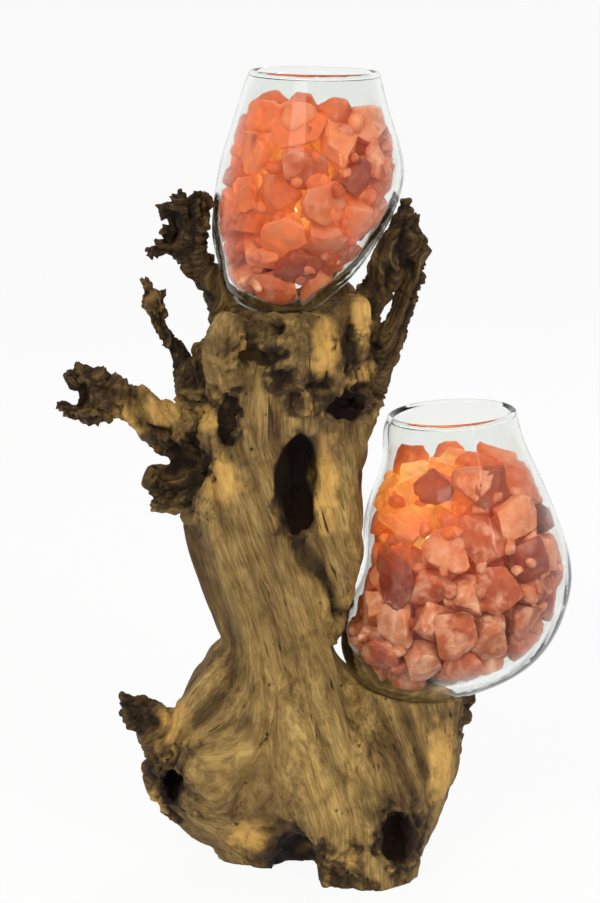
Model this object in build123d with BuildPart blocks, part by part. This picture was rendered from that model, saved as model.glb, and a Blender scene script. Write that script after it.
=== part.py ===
"""Salt lamp: a natural root of driftwood carries two blown glass vessels filled with lumps of rock salt.

A small screw bulb stands inside each vessel, on a threaded tube clamped through the floor of the glass.
Millimetres, +Z up. The origin is the middle of the base, on the surface that the root stands on.
"""

from build123d import *

import math
import os
from collections import namedtuple

import numpy as np
from scipy.interpolate import CubicSpline
from scipy.spatial import HalfspaceIntersection, KDTree

# Where the middle of each vessel's floor rests on the root
upper_seat = Vector(-24, 0, 425)
lower_seat = Vector(78, 0, 135)
seat_gap = 0.3  # between glass and wood

# The way each vessel is drawn out of its seat
upper_lift = Vector(0, 0, 1)
lower_lift = Vector(0.5, 0, 0.866)

# Blown glass
glass_wall = 4
glass_floor = 6
rim_bead = 2.5  # radius of the melted edge
depth_share = 0.97  # a vessel's depth over its width
upper_rim_tilt = -1
lower_rim_tilt = 3.5
# Sections of each vessel: height over the seat, sideways shift, half width
upper_sections = [
    (0, -1, 18),
    (4, -2, 27),
    (11, -3, 36),
    (22, 0, 45),
    (40, 5, 54.5),
    (58, 9, 61.5),
    (80, 15, 66),
    (104, 19, 66),
    (128, 20, 60),
    (150, 20, 53),
    (170, 21, 46.5),
]
lower_sections = [
    (0, 1, 24),
    (3, 1, 37),
    (8, 2, 48),
    (17, 8, 61),
    (30, 14, 73),
    (45, 19, 79.5),
    (71, 27, 81.5),
    (92, 32, 79),
    (114, 31, 75.5),
    (139, 27, 70.5),
    (166, 25, 60.5),
    (190, 22, 52.5),
    (213, 20, 47),
]

# Threaded tube, nuts, washers and gaskets that clamp a lampholder to the glass
tube_radius = 5
tube_bore = 3.5
tube_tail = 4  # thread showing under the lower nut
thread_gap = 0.05
glass_hole_gap = 0.5
gasket_thickness = 2
gasket_radius = 12
washer_thickness = 1.2
washer_radius = 11
nut_thickness = 4
nut_across_flats = 14
upper_stem = 10  # bare tube between the upper nut and the lampholder
lower_stem = 54

# Small screw lampholder
holder_radius = 14
holder_wall = 1.8
dome_height = 15
dome_foot_radius = 8
tube_engagement = 6  # tube screwed into the dome
sleeve_height = 30
core_height = 24
core_floor = 5
fit_gap = 0.1
shell_wall = 0.5
shell_lift = 2  # thread shell over the floor of the core
contact_radius = 4
contact_thickness = 1.5
wire_way_radius = 1.2

# Small screw bulb
cap_radius = 6.95
cap_height = 19
cap_wall = 0.4
cap_clearance = 0.25
tip_radius = 2.3
tip_height = 1.6
insulator_height = 2
bulb_radius = 12.5
bulb_length = 50
bulb_wall = 0.8
neck_depth = 5  # bulb neck held inside the cap
stem_radius = 2.2
stem_height = 20
filament_radius = 0.35
filament_spread = 5
filament_rise = 9
belly_share = 0.45  # height of the widest part over the length

# Salt lumps
lump_spacing = 22  # least distance between the middles of two lumps
lump_gap = 0.6
lump_margin = 6  # least depth of a lump's middle inside the heap
least_edge = 4.5
wall_standoff = 0.8
wall_overcut = 1.6  # further trim, so that a lump has a few broad faces at the glass
floor_standoff = 0.4
bulb_space = 2.5  # free space round the lampholder and the bulb
corner_cuts = 3
cut_depths = (0.78, 0.9)
seed_tries = 9000
wall_rings = 40
wall_spokes = 72
upper_fill = 148  # top of the heap over the seat
upper_fall = 6  # drop of the heap at the wall
lower_fill = 186
lower_fall = 24
grade_shares = {"salt_pale": 0.45, "salt_pink": 0.38, "salt_red": 0.17}

# Drilled pocket and wire way under each vessel, and the grommets at the back
pocket_gap = 4
wire_bore_radius = 4
grommet_radius = 7
grommet_length = 12
grommet_bore = 3.5
flange_radius = 10
flange_thickness = 3
upper_wire_drop = 70  # from the seat down to the level where the wire leaves
lower_wire_drop = 18
upper_exit_depth = 48  # from the middle of the root to the face that the grommet sits on
lower_exit_depth = 42

Lamp = namedtuple("Lamp", "seat sections rim_tilt lift stem fill fall wire_drop exit_depth seed")
lamps = {
    "upper": Lamp(
        upper_seat, upper_sections, upper_rim_tilt, upper_lift, upper_stem,
        upper_fill, upper_fall, upper_wire_drop, upper_exit_depth, 3,
    ),
    "lower": Lamp(
        lower_seat, lower_sections, lower_rim_tilt, lower_lift, lower_stem,
        lower_fill, lower_fall, lower_wire_drop, lower_exit_depth, 8,
    ),
}

# Heights that several pieces share
clamp_height = gasket_thickness + washer_thickness + nut_thickness
clamp_depth = clamp_height + tube_tail
pocket_radius = gasket_radius + pocket_gap
pocket_depth = clamp_depth + pocket_gap
shell_outer_radius = cap_radius + cap_clearance + shell_wall
spine_radius = max(holder_radius, bulb_radius) + bulb_space

# Trunk of the root in level sections: middle X, Y, Z, half width, half depth
stump = [
    (-10, 12, -4, 58, 40),
    (-16, 10, 30, 80, 46),
    (-20, 6, 72, 98, 49),
    (-22, 3, 115, 88, 47),
    (-33, 0, 150, 60, 43),
    (-30, 0, 174, 42, 41),
]
trunk = [
    stump[-1],
    (-37, 0, 237, 56, 45),
    (-38, 0, 298, 63, 50),
    (upper_seat.X + 1, 0, upper_seat.Z - 66, 67, 54),
    (upper_seat.X + 5, 0, upper_seat.Z - 22, 56, 52),
    (upper_seat.X + 4, 0, upper_seat.Z + 2, 42, 46),
]

# Limbs that keep their place on the trunk: middle X, Y, Z and radius of each section
trunk_limbs = {
    "left foot": [
        (-46, -6, 160, 30),
        (-64, -10, 124, 38),
        (-78, -12, 84, 38),
        (-68, -2, 42, 32),
        (-52, 10, -4, 26),
    ],
    "right foot": [(18, -8, 126, 26), (40, -20, 84, 40), (45, -28, 36, 36), (43, -33, -4, 30)],
    "back foot": [(-12, 20, 118, 26), (-8, 36, 70, 38), (-4, 42, -4, 36)],
    "front root": [
        (-28, -4, 184, 30),
        (-20, -8, 146, 40),
        (-4, -12, 100, 46),
        (10, -16, 52, 44),
        (22, -22, -4, 36),
    ],
    "low spur": [(-96, -6, 88, 30), (-120, -6, 108, 18), (-139, -7, 124, 11), (-148, -7, 131, 5)],
    "low left lobe": [(-88, -6, 106, 24), (-109, -10, 80, 22), (-99, -6, 48, 20), (-76, 4, 20, 16)],
    "left ridge": [
        (-80, -22, 318, 14),
        (-76, -26, 290, 15),
        (-62, -30, 236, 14),
        (-44, -30, 182, 14),
        (-46, -34, 132, 15),
        (-56, -32, 92, 13),
        (-62, -18, 64, 9),
    ],
    "middle ridge": [
        (-52, -36, 346, 15),
        (-40, -38, 290, 15),
        (-24, -36, 240, 15),
        (-8, -34, 190, 15),
        (6, -42, 136, 16),
        (15, -44, 92, 13),
        (18, -30, 62, 9),
    ],
    "back left ridge": [
        (-62, 30, 322, 15),
        (-58, 33, 280, 15),
        (-44, 31, 224, 15),
        (-32, 30, 176, 14),
        (-42, 35, 130, 15),
        (-52, 32, 90, 12),
        (-54, 18, 60, 8),
    ],
    "back right ridge": [
        (6, 32, 338, 15),
        (-4, 34, 290, 15),
        (-12, 33, 236, 14),
        (-14, 31, 184, 14),
        (2, 36, 136, 15),
        (14, 36, 92, 12),
        (18, 22, 60, 8),
    ],
    "knuckle": [(-60, -6, 300, 32), (-92, -12, 303, 22), (-112, -15, 301, 13), (-124, -15, 306, 6)],
    "heavy branch": [
        (-60, -4, 312, 30),
        (-90, -6, 328, 21),
        (-116, -8, 343, 15),
        (-142, -8, 361, 14),
        (-163, -8, 371, 14),
        (-176, -8, 378, 10),
        (-180, -8, 383, 5),
    ],
    "heavy branch fork": [
        (-150, -9, 366, 10),
        (-172, -11, 353, 9),
        (-184, -12, 356, 6),
        (-189, -12, 361, 3),
    ],
    "thin branch": [
        (-60, -4, 352, 28),
        (-84, -5, 364, 20),
        (-95, -7, 384, 13),
        (-107, -8, 404, 7),
        (-117, -8, 424, 7),
        (-121, -8, 438, 6),
        (-125, -8, 449, 3),
    ],
    "thin branch fork": [(-112, -9, 412, 5), (-115, -9, 428, 6.5), (-113, -9, 444, 4)],
    "branch gnarl": [(-72, -6, 370, 17), (-85, -15, 385, 12), (-90, -18, 396, 6)],
    "upper gnarl": [(-62, -10, 390, 15), (-73, -19, 404, 11), (-76, -22, 414, 6)],
    "back gnarl": [(-62, 8, 376, 17), (-79, 18, 390, 12), (-86, 22, 399, 6)],
    "heavy gnarl": [(-104, -8, 336, 13), (-111, -11, 352, 10), (-113, -12, 361, 5)],
    "knuckle lobe": [(-92, -10, 298, 16), (-112, -16, 287, 11), (-121, -18, 283, 6)],
}
# Limbs of the crown, measured from the upper seat
crown_limbs = {
    "right column": [
        (20, -12, -245, 20),
        (31, -16, -203, 20),
        (36, -18, -163, 21),
        (36, -18, -115, 21),
        (44, -12, -79, 22),
        (58, -5, -52, 17),
        (71, 0, -28, 11),
        (82, 2, -6, 8.5),
        (92, 0, 20, 7),
        (97, -2, 38, 6.5),
        (99, -3, 48, 5),
    ],
    "right prong": [
        (30, 2, -54, 24),
        (48, 0, -26, 17),
        (58, 0, 4, 13),
        (70, -2, 27, 12),
        (79, -4, 48, 13),
        (84, -4, 66, 10),
        (85, -4, 82, 4.5),
    ],
    "right lower knob": [(76, -4, 42, 9), (92, -3, 53, 8), (101, -2, 49, 5)],
    "right upper knob": [(80, -5, 62, 8), (92, -3, 66, 7), (96, -2, 57, 4)],
    "left stem": [
        (-22, 8, -34, 24),
        (-38, 12, -8, 15),
        (-52, 14, 18, 11),
        (-64, 13, 36, 11),
        (-78, 10, 46, 10),
        (-90, 7, 45, 7),
        (-99, 5, 41, 5),
    ],
    "left cluster": [
        (-56, 12, 26, 9),
        (-66, 10, 50, 12),
        (-70, 7, 68, 13),
        (-77, 5, 82, 8),
        (-79, 5, 87, 4),
    ],
    "left knob": [(-66, 15, 40, 8), (-64, 14, 62, 9), (-63, 13, 80, 8), (-63, 13, 86, 4)],
    "left lower finger": [(-64, 8, 49, 8), (-80, 6, 57, 6), (-90, 5, 58, 4)],
    "left upper finger": [(-66, 7, 66, 9), (-82, 6, 71, 7), (-92, 5, 72, 4)],
    "front left knob": [(-34, -22, -50, 22), (-39, -36, -24, 17), (-38, -43, -6, 13), (-35, -44, 4, 8)],
    "front knob": [(-2, -26, -56, 22), (0, -42, -30, 18), (2, -49, -14, 14), (4, -51, -5, 9)],
    "front right knob": [(30, -18, -52, 22), (39, -30, -24, 18), (46, -35, 0, 14), (51, -35, 16, 9)],
    "back left knob": [(-22, 24, -54, 22), (-27, 40, -26, 17), (-28, 46, -4, 13), (-26, 47, 8, 8)],
    "back right knob": [(22, 24, -54, 22), (30, 38, -24, 18), (36, 43, 0, 14), (40, 43, 14, 9)],
}
# Limbs that carry the lower vessel, measured from its seat
shoulder_limbs = {
    "shoulder": [(-36, 4, -122, 40), (-24, 4, -60, 50), (-14, 4, 6, 46)],
    "rear slab": [(-14, 18, -54, 40), (16, 22, -28, 22), (32, 24, -10, 13), (38, 24, 0, 6)],
}
# Pits in the front: X, Y of the mouth, Z, half width, half height, depth, turn
pits = {
    "great hollow": (-14, -52, 308, 17, 40, 44, 5),
    "crown hollow": (18, -46, 362, 18, 11, 26, 24),
    "knot": (-66, -42, 352, 7, 15, 8, 8),
    "knuckle hollow": (-104, -26, 314, 15, 14, 12, 0),
    "left foot hollow": (-108, -34, 70, 9, 14, 22, 30),
    "right foot hollow": (60, -66, 40, 12, 22, 24, -12),
}
pit_profile = ((-0.6, 1.1), (0, 1), (0.6, 0.8), (1, 0.35))  # share of the depth, share of the mouth's size
# Crevice that runs down from the great hollow: middle X, Y, Z and radius of each section
crevice = [(-8, -58, 300, 9), (-2, -54, 268, 9), (6, -50, 238, 7), (12, -46, 212, 4)]
# Arch between the front feet: middle X, Y, Z, half width, half height
arch = [(-22, -100, 0, 30, 46), (-19, -50, 0, 24, 40), (-14, -8, 0, 12, 22)]


def level_loft(stations):
    """Solid through level oval sections."""
    with BuildPart() as solid:
        for x, y, z, half_width, half_depth in stations:
            with BuildSketch(Plane((x, y, z))):
                Ellipse(half_width, half_depth)
        loft()
    return solid.part


def limb(stations, origin=Vector()):
    """Solid through sections square to the line that joins their middles."""
    middles = [origin + Vector(*station[:3]) for station in stations]
    with BuildPart() as solid:
        for index, station in enumerate(stations):
            before = middles[max(index - 1, 0)]
            after = middles[min(index + 1, len(middles) - 1)]
            along = (after - before).normalized()
            deep = (Vector(0, 1, 0) - along * along.Y).normalized()
            with BuildSketch(Plane(origin=middles[index], x_dir=deep, z_dir=along)):
                Circle(station[3])
        loft()
    return solid.part


def pit(x, mouth_y, z, half_width, half_height, depth, turn):
    """Rounded hollow that narrows from its mouth to its end."""
    with BuildPart() as solid:
        for share, size in pit_profile:
            mouth = Plane(origin=(x, mouth_y + share * depth, z), x_dir=(1, 0, 0), z_dir=(0, -1, 0))
            with BuildSketch(mouth.rotated((0, 0, turn))):
                Ellipse(half_width * size, half_height * size)
        loft()
    return solid.part


def tunnel(stations):
    """Hollow through upright oval sections."""
    with BuildPart() as solid:
        for x, y, z, half_width, half_height in stations:
            with BuildSketch(Plane(origin=(x, y, z), x_dir=(1, 0, 0), z_dir=(0, -1, 0))):
                Ellipse(half_width, half_height)
        loft()
    return solid.part


def bore(start, direction, radius, length):
    """Straight round cutter."""
    with BuildPart() as solid:
        with BuildSketch(Plane(origin=start, z_dir=direction)):
            Circle(radius)
        extrude(amount=length)
    return solid.part


def section_plane(seat, shift, level, lean):
    """Plane of a vessel's section at a level over the seat, leaning by an angle in degrees."""
    tilt = math.radians(lean)
    return Plane(
        origin=seat + Vector(shift, 0, level),
        x_dir=(math.cos(tilt), 0, math.sin(tilt)),
        z_dir=(-math.sin(tilt), 0, math.cos(tilt)),
    )


def vessel_body(seat, sections, rim_tilt, grow=0.0, floor=0.0):
    """Solid through a vessel's sections, grown outwards, its lowest section raised to floor."""
    rim_height = sections[-1][0]
    with BuildPart() as solid:
        for height, shift, half_width in sections:
            level = floor + height * (rim_height - floor) / rim_height
            with BuildSketch(section_plane(seat, shift, level, rim_tilt * height / rim_height)):
                Ellipse(half_width + grow, half_width * depth_share + grow)
        loft()
    return solid.part


def save(piece, name):
    piece.part.label = name
    export_step(piece.part, f"parts/{name}.step")


def ring(name, seat, height, outer_radius, inner_radius, thickness):
    """Flat round piece with a round hole, on the lamp's axis."""
    with BuildPart() as piece:
        with BuildSketch(Plane(seat + Vector(0, 0, height))):
            Circle(outer_radius)
            Circle(inner_radius, mode=Mode.SUBTRACT)
        extrude(amount=thickness)
    save(piece, name)


def clamp(name, seat, stem):
    """Tube through the glass floor, with a gasket, a washer and a nut on each side of it."""
    top = glass_floor + clamp_height + stem + tube_engagement
    ring(f"{name}_threaded_tube", seat, -clamp_depth, tube_radius, tube_bore, clamp_depth + top)
    for side, face, way in (("inner", glass_floor, 1), ("outer", 0, -1)):
        gasket_level = face if way > 0 else face - gasket_thickness
        washer_level = face + gasket_thickness if way > 0 else face - gasket_thickness - washer_thickness
        nut_level = face + gasket_thickness + washer_thickness if way > 0 else face - clamp_height
        hole = tube_radius + thread_gap
        ring(f"{name}_{side}_gasket", seat, gasket_level, gasket_radius, hole, gasket_thickness)
        ring(f"{name}_{side}_washer", seat, washer_level, washer_radius, hole, washer_thickness)
        with BuildPart() as nut:
            with BuildSketch(Plane(seat + Vector(0, 0, nut_level))):
                RegularPolygon(nut_across_flats / 2, 6, major_radius=False)
                Circle(hole, mode=Mode.SUBTRACT)
            extrude(amount=nut_thickness)
        save(nut, f"{name}_{side}_lock_nut")


def lampholder(name, seat, foot):
    """Dome, sleeve, core, thread shell and centre contact; foot is the dome's height over the seat."""
    inner_radius = holder_radius - holder_wall
    axis = Axis(seat, (0, 0, 1))
    profile_plane = Plane(origin=seat + Vector(0, 0, foot), x_dir=(1, 0, 0), z_dir=(0, -1, 0))
    with BuildPart() as dome:
        with BuildSketch(profile_plane):
            with BuildLine():
                hole = tube_radius + thread_gap
                Polyline(
                    (inner_radius, tube_engagement), (hole, tube_engagement), (hole, 0), (dome_foot_radius, 0)
                )
                shoulder = dome_height - (holder_radius - dome_foot_radius)
                RadiusArc((dome_foot_radius, 0), (holder_radius, shoulder), -dome_height)
                Polyline(
                    (holder_radius, shoulder),
                    (holder_radius, dome_height),
                    (inner_radius, dome_height),
                    (inner_radius, tube_engagement),
                )
            make_face()
        revolve(axis=axis)
    save(dome, f"{name}_holder_dome")
    ring(f"{name}_holder_sleeve", seat, foot + dome_height, holder_radius, inner_radius, sleeve_height)
    core_level = foot + tube_engagement
    pocket = shell_outer_radius + fit_gap
    with BuildPart() as core:
        with BuildSketch(Plane(seat + Vector(0, 0, core_level))):
            Circle(inner_radius - fit_gap)
        extrude(amount=core_height)
        with BuildSketch(Plane(seat + Vector(0, 0, core_level + core_floor))):
            Circle(pocket)
        extrude(amount=core_height - core_floor, mode=Mode.SUBTRACT)
        # Two ways for the wires, clear of the tube's bore
        with BuildSketch(Plane(seat + Vector(0, 0, core_level))):
            with PolarLocations((pocket + inner_radius) / 2, 2):
                Circle(wire_way_radius)
        extrude(amount=core_height, mode=Mode.SUBTRACT)
    save(core, f"{name}_holder_core")
    pocket_level = core_level + core_floor
    shell_height = core_height - core_floor - shell_lift
    inner_shell = shell_outer_radius - shell_wall
    shell_level = pocket_level + shell_lift
    ring(f"{name}_holder_thread_shell", seat, shell_level, shell_outer_radius, inner_shell, shell_height)
    with BuildPart() as contact:
        with BuildSketch(Plane(seat + Vector(0, 0, pocket_level))):
            Circle(contact_radius)
        extrude(amount=contact_thickness)
    save(contact, f"{name}_holder_contact")


def bulb_body(seat, foot, neck_radius, shrink=0.0):
    """Solid of the bulb's glass from its neck up, shrunk inwards."""
    top = neck_depth + bulb_length - shrink
    with BuildPart() as solid:
        with BuildSketch(Plane(origin=seat + Vector(0, 0, foot), x_dir=(1, 0, 0), z_dir=(0, -1, 0))):
            with BuildLine():
                neck = neck_radius - shrink
                Polyline((0, top), (0, shrink), (neck, shrink), (neck, neck_depth))
                Spline(
                    (neck_radius - shrink, neck_depth),
                    (bulb_radius - shrink, neck_depth + belly_share * bulb_length),
                    (0, top),
                    tangents=[(0, 1), (0, 1), (-1, 0)],
                )
            make_face()
        revolve(axis=Axis(seat, (0, 0, 1)))
    return solid.part


def bulb(name, seat, foot):
    """Small screw bulb; foot is the height of its centre contact over the seat."""
    cap_foot = foot + tip_height + insulator_height
    neck_foot = cap_foot + cap_height - neck_depth
    neck_radius = cap_radius - cap_wall - fit_gap
    with BuildPart() as tip:
        with BuildSketch(Plane(seat + Vector(0, 0, foot))):
            Circle(tip_radius)
        extrude(amount=tip_height)
        chamfer(tip.edges().sort_by(Axis.Z)[0], tip_height / 2)
    save(tip, f"{name}_bulb_end_contact")
    with BuildPart() as insulator:
        with BuildSketch(Plane(seat + Vector(0, 0, foot + tip_height))):
            Circle(tip_radius)
        with BuildSketch(Plane(seat + Vector(0, 0, cap_foot))):
            Circle(cap_radius - cap_wall)
        loft()
    save(insulator, f"{name}_bulb_insulator")
    with BuildPart() as cap:
        with BuildSketch(Plane(seat + Vector(0, 0, cap_foot))):
            Circle(cap_radius)
        extrude(amount=cap_height)
        offset(amount=-cap_wall, openings=cap.faces().sort_by(Axis.Z)[-1])
    save(cap, f"{name}_bulb_cap")
    with BuildPart() as envelope:
        add(bulb_body(seat, neck_foot, neck_radius))
        add(bulb_body(seat, neck_foot, neck_radius, bulb_wall), mode=Mode.SUBTRACT)
    save(envelope, f"{name}_bulb_envelope")
    stem_foot = neck_foot + bulb_wall
    with BuildPart() as stem:
        with BuildSketch(Plane(seat + Vector(0, 0, stem_foot))):
            Circle(neck_radius - 2 * bulb_wall)
        with BuildSketch(Plane(seat + Vector(0, 0, stem_foot + stem_height / 2))):
            Circle(stem_radius)
        with BuildSketch(Plane(seat + Vector(0, 0, stem_foot + stem_height))):
            Circle(stem_radius)
        loft(ruled=True)
    save(stem, f"{name}_bulb_stem")
    filament_plane = Plane(
        origin=seat + Vector(0, 0, stem_foot + stem_height), x_dir=(1, 0, 0), z_dir=(0, -1, 0)
    )
    with BuildPart() as filament:
        with BuildLine(filament_plane) as wire:
            Polyline(
                (-stem_radius / 2, 0),
                (-stem_radius / 2, filament_rise / 3),
                (-filament_spread, filament_rise),
                (filament_spread, filament_rise),
                (stem_radius / 2, filament_rise / 3),
                (stem_radius / 2, 0),
            )
        with BuildSketch(Plane(origin=wire.line @ 0, z_dir=wire.line % 0)):
            Circle(filament_radius)
        sweep(path=wire.line, transition=Transition.RIGHT)
    save(filament, f"{name}_bulb_filament")


def lump(corners):
    with BuildPart() as solid:
        ConvexPolyhedron([tuple(corner) for corner in corners])
    return solid.part


def salt_heap(name, lamp, bulb_top):
    """Loose lumps that fill a vessel, sorted into three grades of colour."""
    rng = np.random.default_rng(lamp.seed)
    wall = wall_points(lamp.seat, lamp.sections, lamp.rim_tilt)
    seeds, buried = spread_seeds(rng, lamp, wall, bulb_top)
    lumps = []
    for seed in seeds[buried]:
        span = np.linalg.norm(seeds - seed, axis=1)
        neighbours = seeds[(span > 0) & (span < 2 * math.sqrt(3) * lump_spacing)]
        lumps.append(lump(lump_corners(rng, seed, neighbours, lamp.seat, wall, bulb_top)))
    grades = rng.choice(list(grade_shares), len(lumps), p=list(grade_shares.values()))
    for grade in grade_shares:
        with BuildPart() as heap:
            add([piece for piece, own in zip(lumps, grades) if own == grade])
        save(heap, f"{name}_{grade}")


def glass_vessel(name, lamp):
    """Blown vessel with a hole in its floor and a rounded rim."""
    with BuildPart() as vessel:
        add(vessel_body(lamp.seat, lamp.sections, lamp.rim_tilt))
        hollow = vessel_body(lamp.seat, lamp.sections, lamp.rim_tilt, -glass_wall, glass_floor)
        add(hollow, mode=Mode.SUBTRACT)
        add(bore(lamp.seat, (0, 0, 1), tube_radius + glass_hole_gap, glass_floor), mode=Mode.SUBTRACT)
        rim_height, rim_shift, rim_half_width = lamp.sections[-1]
        rim_plane = section_plane(lamp.seat, rim_shift, rim_height, lamp.rim_tilt)
        with BuildLine(rim_plane) as rim:
            half_wall = glass_wall / 2
            EllipticalCenterArc(
                (0, 0), rim_half_width - half_wall, rim_half_width * depth_share - half_wall, arc_size=360
            )
        with BuildSketch(Plane(origin=rim.line @ 0, z_dir=rim.line % 0)):
            Circle(rim_bead)
        sweep(path=rim.line)
    save(vessel, f"{name}_glass_vessel")


def grommet(name, lamp):
    """Rubber bush at the back of the root where the wire leaves."""
    face = lamp.seat + Vector(0, lamp.exit_depth, -lamp.wire_drop)
    with BuildPart() as bush:
        with BuildSketch(Plane(origin=face, z_dir=(0, 1, 0))):
            Circle(flange_radius)
        extrude(amount=flange_thickness)
        with BuildSketch(Plane(origin=face, z_dir=(0, 1, 0))):
            Circle(grommet_radius)
        extrude(amount=-grommet_length)
        with BuildSketch(Plane(origin=face, z_dir=(0, 1, 0))):
            Circle(grommet_bore)
        extrude(amount=flange_thickness, mode=Mode.SUBTRACT)
        with BuildSketch(Plane(origin=face, z_dir=(0, 1, 0))):
            Circle(grommet_bore)
        extrude(amount=-grommet_length, mode=Mode.SUBTRACT)
    save(bush, f"{name}_wire_grommet")


def wall_points(seat, sections, rim_tilt):
    """Points on a vessel's inner wall, with the outward direction at each."""
    heights, shifts, half_widths = np.array(sections, dtype=float).T
    rim_height = heights[-1]
    levels = glass_floor + heights * (rim_height - glass_floor) / rim_height
    shift_at = CubicSpline(levels, shifts)
    width_at = CubicSpline(levels, half_widths - glass_wall)
    depth_at = CubicSpline(levels, half_widths * depth_share - glass_wall)
    level, turn = np.meshgrid(
        np.linspace(glass_floor, rim_height, wall_rings),
        np.linspace(0, 2 * np.pi, wall_spokes, endpoint=False),
    )
    across = width_at(level) * np.cos(turn)
    deep = depth_at(level) * np.sin(turn)
    slope = width_at(level, 1) + shift_at(level, 1) * np.cos(turn)
    tilt = np.radians(rim_tilt) * level / rim_height
    along = shift_at(level) + across * np.cos(tilt)
    points = np.stack([along, deep, level + across * np.sin(tilt)], axis=-1)
    outward = np.stack([np.cos(turn), np.sin(turn) / depth_share, -slope], axis=-1)
    outward /= np.linalg.norm(outward, axis=-1, keepdims=True)
    return KDTree(points.reshape(-1, 3) + np.array([*seat])), outward.reshape(-1, 3)


def clear_of_wall(points, wall):
    """How far each point lies inside the wall, and the wall point nearest to it."""
    spots, outward = wall
    _, nearest = spots.query(points)
    inside = np.sum((spots.data[nearest] - points) * outward[nearest], axis=1)
    return inside, nearest


def spread_seeds(rng, lamp, wall, bulb_top):
    """Middles of the lumps, well apart, and of the gaps over the heap that shape its top."""
    low = wall[0].mins
    high = wall[0].maxes
    middle = (low + high) / 2
    half_width = (high[0] - low[0]) / 2
    tries = rng.uniform(low, high + [0, 0, lump_spacing], (seed_tries, 3))
    inside, _ = clear_of_wall(tries, wall)
    seeds = np.empty((0, 3))
    buried = []
    for spot, depth in zip(tries, inside):
        away = math.hypot(spot[0] - middle[0], spot[1] - middle[1]) / half_width
        surface = lamp.seat.Z + lamp.fill - lamp.fall * away**2
        in_heap = spot[2] < surface - lump_margin
        gap_over_heap = spot[2] > surface + lump_margin
        spine = np.array([lamp.seat.X, lamp.seat.Y, min(spot[2], bulb_top)])
        from_spine = np.linalg.norm(spot - spine)
        if in_heap and (depth < lump_margin or from_spine < spine_radius + lump_margin):
            continue
        if not (in_heap or gap_over_heap):
            continue
        if len(seeds) and np.linalg.norm(seeds - spot, axis=1).min() < lump_spacing:
            continue
        seeds = np.vstack([seeds, spot])
        buried.append(in_heap)
    return seeds, np.array(buried)


def lump_corners(rng, seed, neighbours, seat, wall, bulb_top):
    """Corners of one lump: the room nearest to its seed, trimmed at the glass, the bulb and its edges."""
    spine = np.array([seat.X, seat.Y, min(seed[2], bulb_top)])
    to_spine = (spine - seed) / np.linalg.norm(spine - seed)
    planes = [(side, lump_spacing) for side in np.vstack([np.eye(3), -np.eye(3)])]
    planes.append((np.array([0, 0, -1]), seed[2] - seat.Z - glass_floor - floor_standoff))
    planes.append((to_spine, np.linalg.norm(spine - seed) - spine_radius))
    for other in neighbours:
        span = np.linalg.norm(other - seed)
        planes.append(((other - seed) / span, (span - lump_gap) / 2))

    def corners():
        halfspaces = [[*way, -reach] for way, reach in planes]
        return HalfspaceIntersection(np.array(halfspaces), np.zeros(3)).intersections

    inside, nearest = clear_of_wall(corners() + seed, wall)
    while inside.min() < wall_standoff:
        spot = nearest[np.argmin(inside)]
        outward = wall[1][spot]
        planes.append((outward, (wall[0].data[spot] - seed) @ outward - wall_standoff - wall_overcut))
        inside, nearest = clear_of_wall(corners() + seed, wall)
    for _ in range(corner_cuts):
        way = rng.normal(size=3)
        way /= np.linalg.norm(way)
        planes.append((way, rng.uniform(*cut_depths) * (corners() @ way).max()))
    kept = []
    for corner in sorted(corners(), key=np.linalg.norm, reverse=True):
        if all(np.linalg.norm(corner - other) > least_edge for other in kept):
            kept.append(corner)
    return np.array(kept) + seed


os.makedirs("parts", exist_ok=True)

# The root of driftwood, one natural piece with its seats, pockets and wire ways
with BuildPart() as driftwood_root:
    add(level_loft(stump))
    add(level_loft(trunk))
    add([limb(stations) for stations in trunk_limbs.values()])
    add([limb(stations, upper_seat) for stations in crown_limbs.values()])
    add([limb(stations, lower_seat) for stations in shoulder_limbs.values()])
    split(bisect_by=Plane.XY, keep=Keep.TOP)
    add([pit(*sizes) for sizes in pits.values()] + [tunnel(arch), limb(crevice)], mode=Mode.SUBTRACT)
    for lamp in lamps.values():
        back = Vector(0, 1, 0)
        wire_level = lamp.seat - Vector(0, 0, lamp.wire_drop)
        grommet_foot = wire_level + back * (lamp.exit_depth - grommet_length)
        for cutter in (
            vessel_body(lamp.seat, lamp.sections, lamp.rim_tilt, seat_gap),
            bore(lamp.seat - lamp.lift * pocket_depth, lamp.lift, pocket_radius, pocket_depth + glass_floor),
            bore(wire_level, (0, 0, 1), wire_bore_radius, lamp.wire_drop),
            bore(wire_level - back * wire_bore_radius, back, wire_bore_radius, lamp.exit_depth),
            bore(grommet_foot, back, grommet_radius + fit_gap, grommet_length),
            bore(wire_level + back * lamp.exit_depth, back, flange_radius + pocket_gap, 2 * lamp.exit_depth),
        ):
            add(cutter, mode=Mode.SUBTRACT)
save(driftwood_root, "driftwood_root")

for name, lamp in lamps.items():
    holder_foot = glass_floor + clamp_height + lamp.stem
    bulb_foot = holder_foot + tube_engagement + core_floor + contact_thickness + fit_gap
    bulb_top = bulb_foot + tip_height + insulator_height + cap_height + bulb_length
    glass_vessel(name, lamp)
    clamp(name, lamp.seat, lamp.stem)
    lampholder(name, lamp.seat, holder_foot)
    bulb(name, lamp.seat, bulb_foot)
    salt_heap(name, lamp, lamp.seat.Z + bulb_top - bulb_radius)
    grommet(name, lamp)
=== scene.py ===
import math
import random

import bmesh
import bpy
import numpy as np
from mathutils import Euler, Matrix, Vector, noise
from mathutils.bvhtree import BVHTree


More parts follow.
